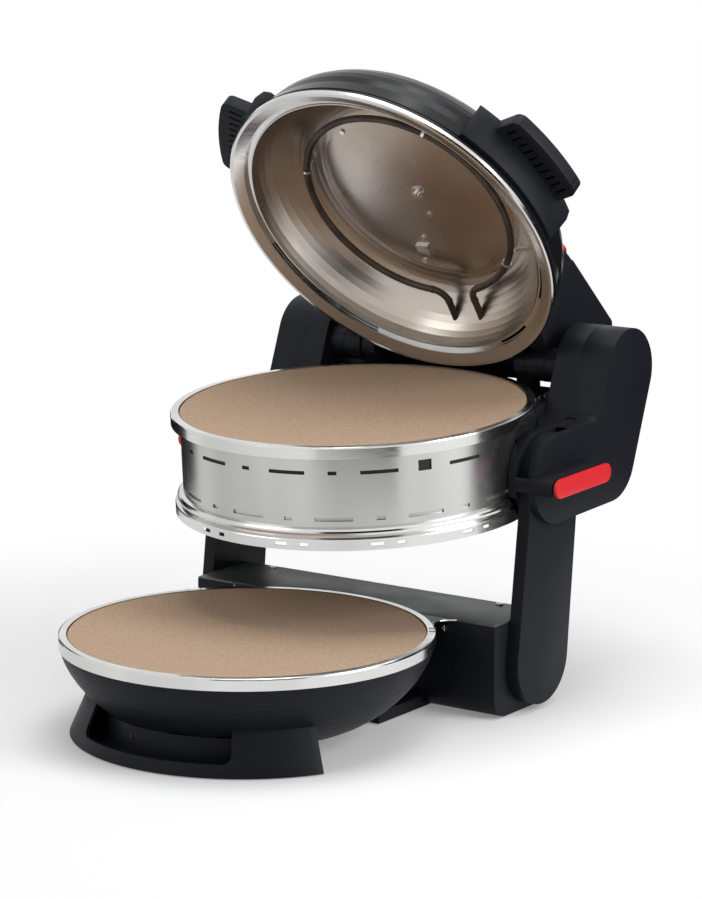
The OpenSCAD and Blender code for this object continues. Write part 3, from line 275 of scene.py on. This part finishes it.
def piece(name, mesh, look, body, place=None):
    o = bpy.data.objects.new(name, mesh)
    bpy.context.scene.collection.objects.link(o)
    if place is not None:
        o.matrix_world = place
    mesh.materials.append(look)
    smooth(mesh)
    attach(o, body)
    return o


def mesh_from(bm, name):
    """Turns a bmesh into a mesh with its faces turned outwards."""
    bmesh.ops.recalc_face_normals(bm, faces=bm.faces)
    mesh = bpy.data.meshes.new(name)
    bm.to_mesh(mesh)
    bm.free()
    return mesh


def lathe(name, profile, steps=40):
    """A turned piece about Z from (radius, height) points."""
    bm = bmesh.new()
    rings = []
    for radius, z in profile:
        if radius < 1e-9:
            rings.append([bm.verts.new((0, 0, z))])
            continue
        angles = [2 * math.pi * i / steps for i in range(steps)]
        rings.append([
            bm.verts.new((radius * math.cos(angle), radius * math.sin(angle), z))
            for angle in angles
        ])
    for a, b in zip(rings, rings[1:]):
        for i in range(steps):
            j = (i + 1) % steps
            corners = [a[i % len(a)], a[j % len(a)], b[j % len(b)], b[i % len(b)]]
            corners = list(dict.fromkeys(corners))
            if len(corners) > 2:
                bm.faces.new(corners)
    return mesh_from(bm, name)


def sweep(name, path, outline):
    """A bar along a path: outline is (across, up) at each point of the path."""
    bm = bmesh.new()
    rows = []
    for i, point in enumerate(path):
        ahead = path[min(i + 1, len(path) - 1)] - path[max(i - 1, 0)]
        ahead.normalize()
        across = ahead.cross(Vector((0, 0, 1))).normalized()
        rows.append([bm.verts.new(point + across * u + Vector((0, 0, v))) for u, v in outline])
    count = len(outline)
    for a, b in zip(rows, rows[1:]):
        for i in range(count):
            bm.faces.new([a[i], a[(i + 1) % count], b[(i + 1) % count], b[i]])
    bm.faces.new(rows[0])
    bm.faces.new(rows[-1])
    return mesh_from(bm, name)


def turned_to(axis, place):
    """A matrix that puts +Z along axis at place."""
    return Matrix.Translation(place) @ Vector(axis).to_track_quat("Z", "Y").to_matrix().to_4x4()


def curve(points, steps):
    """A smooth path through (x, y) points."""
    out = []
    for i in range(len(points) - 1):
        p0 = Vector(points[max(i - 1, 0)])
        p1, p2 = Vector(points[i]), Vector(points[i + 1])
        p3 = Vector(points[min(i + 2, len(points) - 1)])
        for k in range(steps):
            t = k / steps
            out.append(0.5 * (
                2 * p1 + (p2 - p0) * t + (2 * p0 - 5 * p1 + 4 * p2 - p3) * t * t
                + (3 * p1 - p0 - 3 * p2 + p3) * t ** 3
            ))
    out.append(Vector(points[-1]))
    return out


def sheet_mesh(name, outline, low, high):
    """A flat sheet with the given (x, y) outline."""
    bm = bmesh.new()
    bottom = [bm.verts.new((x, y, low)) for x, y in outline]
    top = [bm.verts.new((x, y, high)) for x, y in outline]
    count = len(outline)
    bm.faces.new(bottom[::-1])
    bm.faces.new(top)
    for i in range(count):
        j = (i + 1) % count
        bm.faces.new([bottom[i], bottom[j], top[j], top[i]])
    return mesh_from(bm, name)


# ---- sheet corners of the top plate that lead to the pan's rim, with a rolled bright edge ----
WEB_TOP = PLATE_HIGH[2] - 0.4 * MM
WEB_THICK = 1 * MM
FRONT_Y = PLATE_LOW[1] - PAN_AXIS_Y + 0.2 * MM
WEB_R = RIM_R + 0.6 * MM
WEB_END = math.radians(45)
WEB_START = math.acos(FRONT_Y / WEB_R)
# the free edge in mm, from the plate forward: x, and y from the plate's front
FREE_EDGE = [(131, 0), (124, -5.5), (120, -14)]
FREE_STEPS = 6
STRAIGHT_ENDS = 4 * MM
ARC_STEPS = 16
ROLL_SINK = 0.2 * MM
ROLL_R = 0.9 * MM
ROLL = [(ROLL_R * math.cos(math.pi * k / 4), ROLL_R * math.sin(math.pi * k / 4)) for k in range(8)]


def web_point(angle):
    """A point on the edge beside the rim, from the pan's axis, with the angle from +Y."""
    return Vector((WEB_R * math.sin(angle), WEB_R * math.cos(angle)))


def plate_corner(side, hand):
    """The sheet corner on one side, -1 or 1, and its rolled edge."""
    end = web_point(WEB_END)
    free = curve([
        *((x * MM, FRONT_Y + y * MM) for x, y in FREE_EDGE),
        (FREE_EDGE[-1][0] * MM, end.y + STRAIGHT_ENDS), (end.x, end.y),
    ], FREE_STEPS)
    arc = [web_point(WEB_END + (WEB_START - WEB_END) * k / ARC_STEPS) for k in range(1, ARC_STEPS)]
    at_plate = Vector((WEB_R * math.sin(WEB_START), FRONT_Y))
    outline = [(side * p.x, PAN_AXIS_Y + p.y) for p in [*free, *arc, at_plate]]
    sheet = sheet_mesh("plate_corner", outline, WEB_TOP - WEB_THICK, WEB_TOP)
    piece(f"plate_corner_{hand}", sheet, PLATE, "base")
    path = [Vector((side * p.x, PAN_AXIS_Y + p.y, WEB_TOP - ROLL_SINK)) for p in free]
    piece(f"plate_edge_{hand}", sweep("plate_edge", path, ROLL), BRIGHT, "base")


plate_corner(-1, "left")
plate_corner(1, "right")

# ---- two hold-down tabs on each side where the pan's rim meets the base ----
# across and up in mm; they are thinner than the gap that the closed drum leaves there
TAB = [(-1.5, 0), (1.5, 0), (1.5, 0.15), (1.3, 0.22), (-1.3, 0.22), (-1.5, 0.15)]
TAB_TURNS = (52.5, 56.5)
TAB_INSET = 6.5 * MM
TAB_LONG = 6.0 * MM
TAB_LIFT = 0.02 * MM
TAB_STEPS = 4


def rim_tab(side, hand, number, turn):
    """One tab, turned away from +Y about the pan's axis by some degrees."""
    angle = math.radians(90 - turn)
    out = Vector((side * math.cos(angle), math.sin(angle), 0))
    start = Vector((0, PAN_AXIS_Y, PAN_TOP + TAB_LIFT)) + out * (RIM_R - TAB_INSET)
    end = start + out * TAB_LONG
    path = [start.lerp(end, k / TAB_STEPS) for k in range(TAB_STEPS + 1)]
    mesh = sweep("rim_tab", path, [(across * MM, up * MM) for across, up in TAB])
    piece(f"rim_tab_{hand}_{number}", mesh, BRIGHT, "base")


for side, hand in ((-1, "left"), (1, "right")):
    for number, turn in enumerate(TAB_TURNS, 1):
        rim_tab(side, hand, number, turn)

# ---- screw in the back of the finger space of the front foot ----
FOOT_INSET = 9.1 * MM
FINGER_SPACE = 30 * MM
SCREW_TURN = math.radians(14)
SCREW_HIGH = 18 * MM
SCREW_HEAD = [(0, 1.0), (1.0, 0.9), (1.6, 0.5), (1.8, 0), (0, 0)]

screw_out = Vector((-math.sin(SCREW_TURN), -math.cos(SCREW_TURN), 0))
screw_place = Vector((0, PAN_AXIS_Y, SCREW_HIGH)) + screw_out * (RIM_R - FOOT_INSET - FINGER_SPACE)
piece(
    "foot_screw", lathe("foot_screw", [(radius * MM, high * MM) for radius, high in SCREW_HEAD]),
    ELEMENT, "base", turned_to(screw_out, screw_place),
)

# ---- camera ----
AZIMUTH = math.radians(35.042)
ELEVATION = math.radians(11.16)
DISTANCE = 2.9675
FOCAL_PX = 3339.9
IMAGE_H = 899
SENSOR_H = 36
AIM = Vector((0.11662, PAN_AXIS_Y, 0.27637))

back = Vector((
    math.sin(AZIMUTH) * math.cos(ELEVATION),
    -math.cos(AZIMUTH) * math.cos(ELEVATION),
    math.sin(ELEVATION),
))
cam_data = bpy.data.cameras.new("camera")
cam_data.sensor_fit = "VERTICAL"
cam_data.sensor_height = SENSOR_H
cam_data.lens = FOCAL_PX / IMAGE_H * SENSOR_H
cam = bpy.data.objects.new("camera", cam_data)
bpy.context.scene.collection.objects.link(cam)
cam.location = AIM + DISTANCE * back
cam.rotation_euler = back.to_track_quat("Z", "Y").to_euler()
bpy.context.scene.camera = cam

# ---- floor and world ----
AMBIENT = 0.34
FLOOR_SIZE = 14
FLOOR_LIT = 0.80
FADE_START, FADE_END = 0.42, 0.80
WHITE = (1, 1, 1, 1)


def seen_rays(nodes, links):
    """1 for camera, glossy and transmission rays, 0 for the rays that light the object."""
    path = nodes.new("ShaderNodeLightPath")
    total = path.outputs["Is Camera Ray"]
    for name in ("Is Glossy Ray", "Is Transmission Ray"):
        either = nodes.new("ShaderNodeMath")
        either.operation = "MAXIMUM"
        links.new(total, either.inputs[0])
        links.new(path.outputs[name], either.inputs[1])
        total = either.outputs[0]
    return total


def mixed(nodes, links, share, first, second):
    """The first shader where share is 0, the second where it is 1."""
    mix = nodes.new("ShaderNodeMixShader")
    links.new(share, mix.inputs["Fac"])
    links.new(first, mix.inputs[1])
    links.new(second, mix.inputs[2])
    return mix.outputs[0]


def whiten(look):
    """Near the machine the floor takes its shadow, further out it is plain white."""
    nodes, links, shader = tree_of(look)
    where = nodes.new("ShaderNodeTexCoord")
    far = nodes.new("ShaderNodeVectorMath")
    far.operation = "LENGTH"
    links.new(where.outputs["Object"], far.inputs[0])
    fade = nodes.new("ShaderNodeMapRange")
    fade.interpolation_type = "SMOOTHSTEP"
    fade.inputs["From Min"].default_value = FADE_START
    fade.inputs["From Max"].default_value = FADE_END
    links.new(far.outputs["Value"], fade.inputs["Value"])
    white = nodes.new("ShaderNodeEmission")
    white.inputs["Color"].default_value = WHITE
    lift = nodes.new("ShaderNodeEmission")
    lift.inputs["Strength"].default_value = 1 - FLOOR_LIT
    near = nodes.new("ShaderNodeAddShader")
    links.new(shader.outputs[0], near.inputs[0])
    links.new(lift.outputs[0], near.inputs[1])
    shown = mixed(nodes, links, fade.outputs["Result"], near.outputs[0], white.outputs[0])
    split = mixed(nodes, links, seen_rays(nodes, links), shader.outputs[0], shown)
    links.new(split, nodes["Material Output"].inputs["Surface"])


bpy.ops.mesh.primitive_plane_add(size=FLOOR_SIZE, location=(0, 0, 0))
floor = bpy.context.object
floor.name = "floor"
FLOOR = material("floor", (0.80, 0.80, 0.805), 0.7, spec=0.1)
whiten(FLOOR)
floor.data.materials.append(FLOOR)

world = bpy.data.worlds.new("world")
bpy.context.scene.world = world
world.use_nodes = True
world_nodes = world.node_tree.nodes
world_links = world.node_tree.links
background = world_nodes["Background"]
background.inputs["Color"].default_value = WHITE
level = world_nodes.new("ShaderNodeMapRange")
level.inputs["To Min"].default_value = AMBIENT
level.inputs["To Max"].default_value = 1.0
world_links.new(seen_rays(world_nodes, world_links), level.inputs["Value"])
world_links.new(level.outputs["Result"], background.inputs["Strength"])

# ---- boards and lamps ----
# dark boards round the set, which only reflections see: they give the steel its dark bands;
# the one behind is low, so that the rims' flat lands stay bright
BOARD_R = 0.9
BOARD_HIGH, BOARD_LOW = 0.6, 0.22
BOARD_STEPS = 24
BOARD = material("studio_board", (0.01, 0.01, 0.01), 0.9, spec=0.0)


def board(name, first, last, height):
    """A curved board from azimuth first to last, in degrees from the front towards +X."""
    bm = bmesh.new()
    pairs = []
    for i in range(BOARD_STEPS + 1):
        angle = math.radians(first + (last - first) * i / BOARD_STEPS)
        x, y = BOARD_R * math.sin(angle), PAN_AXIS_Y - BOARD_R * math.cos(angle)
        pairs.append([bm.verts.new((x, y, z)) for z in (0, height)])
    for (a, b), (c, d) in zip(pairs, pairs[1:]):
        bm.faces.new([a, b, d, c])
    mesh = bpy.data.meshes.new(name)
    bm.to_mesh(mesh)
    bm.free()
    mesh.materials.append(BOARD)
    o = bpy.data.objects.new(name, mesh)
    bpy.context.scene.collection.objects.link(o)
    o.visible_camera = False
    o.visible_diffuse = False
    o.visible_transmission = False
    o.visible_volume_scatter = False
    o.visible_shadow = False


board("board_front", 16, 71, BOARD_HIGH)
board("board_right", 121, 182, BOARD_HIGH)
board("board_rear", 182, 244, BOARD_LOW)
board("board_left", 244, 264, BOARD_HIGH)

LAMP_AIM = Vector((0, 0, 0.3))


def lamp(name, place, width, height, power):
    """A rectangular lamp turned towards the machine, sizes in metres and power in watts."""
    light = bpy.data.lights.new(name, "AREA")
    light.shape = "RECTANGLE"
    light.size = width
    light.size_y = height
    light.energy = power
    o = bpy.data.objects.new(name, light)
    bpy.context.scene.collection.objects.link(o)
    o.location = place
    o.rotation_euler = (Vector(place) - LAMP_AIM).to_track_quat("Z", "Y").to_euler()


lamp("key", (-1.2, -1.6, 1.9), 1.2, 1.2, 7)
lamp("side", (1.9, 0.3, 0.9), 0.9, 1.6, 24)
lamp("top", (0.1, 0.2, 2.4), 1.6, 1.6, 30)

bpy.context.scene.view_settings.view_transform = "Standard"
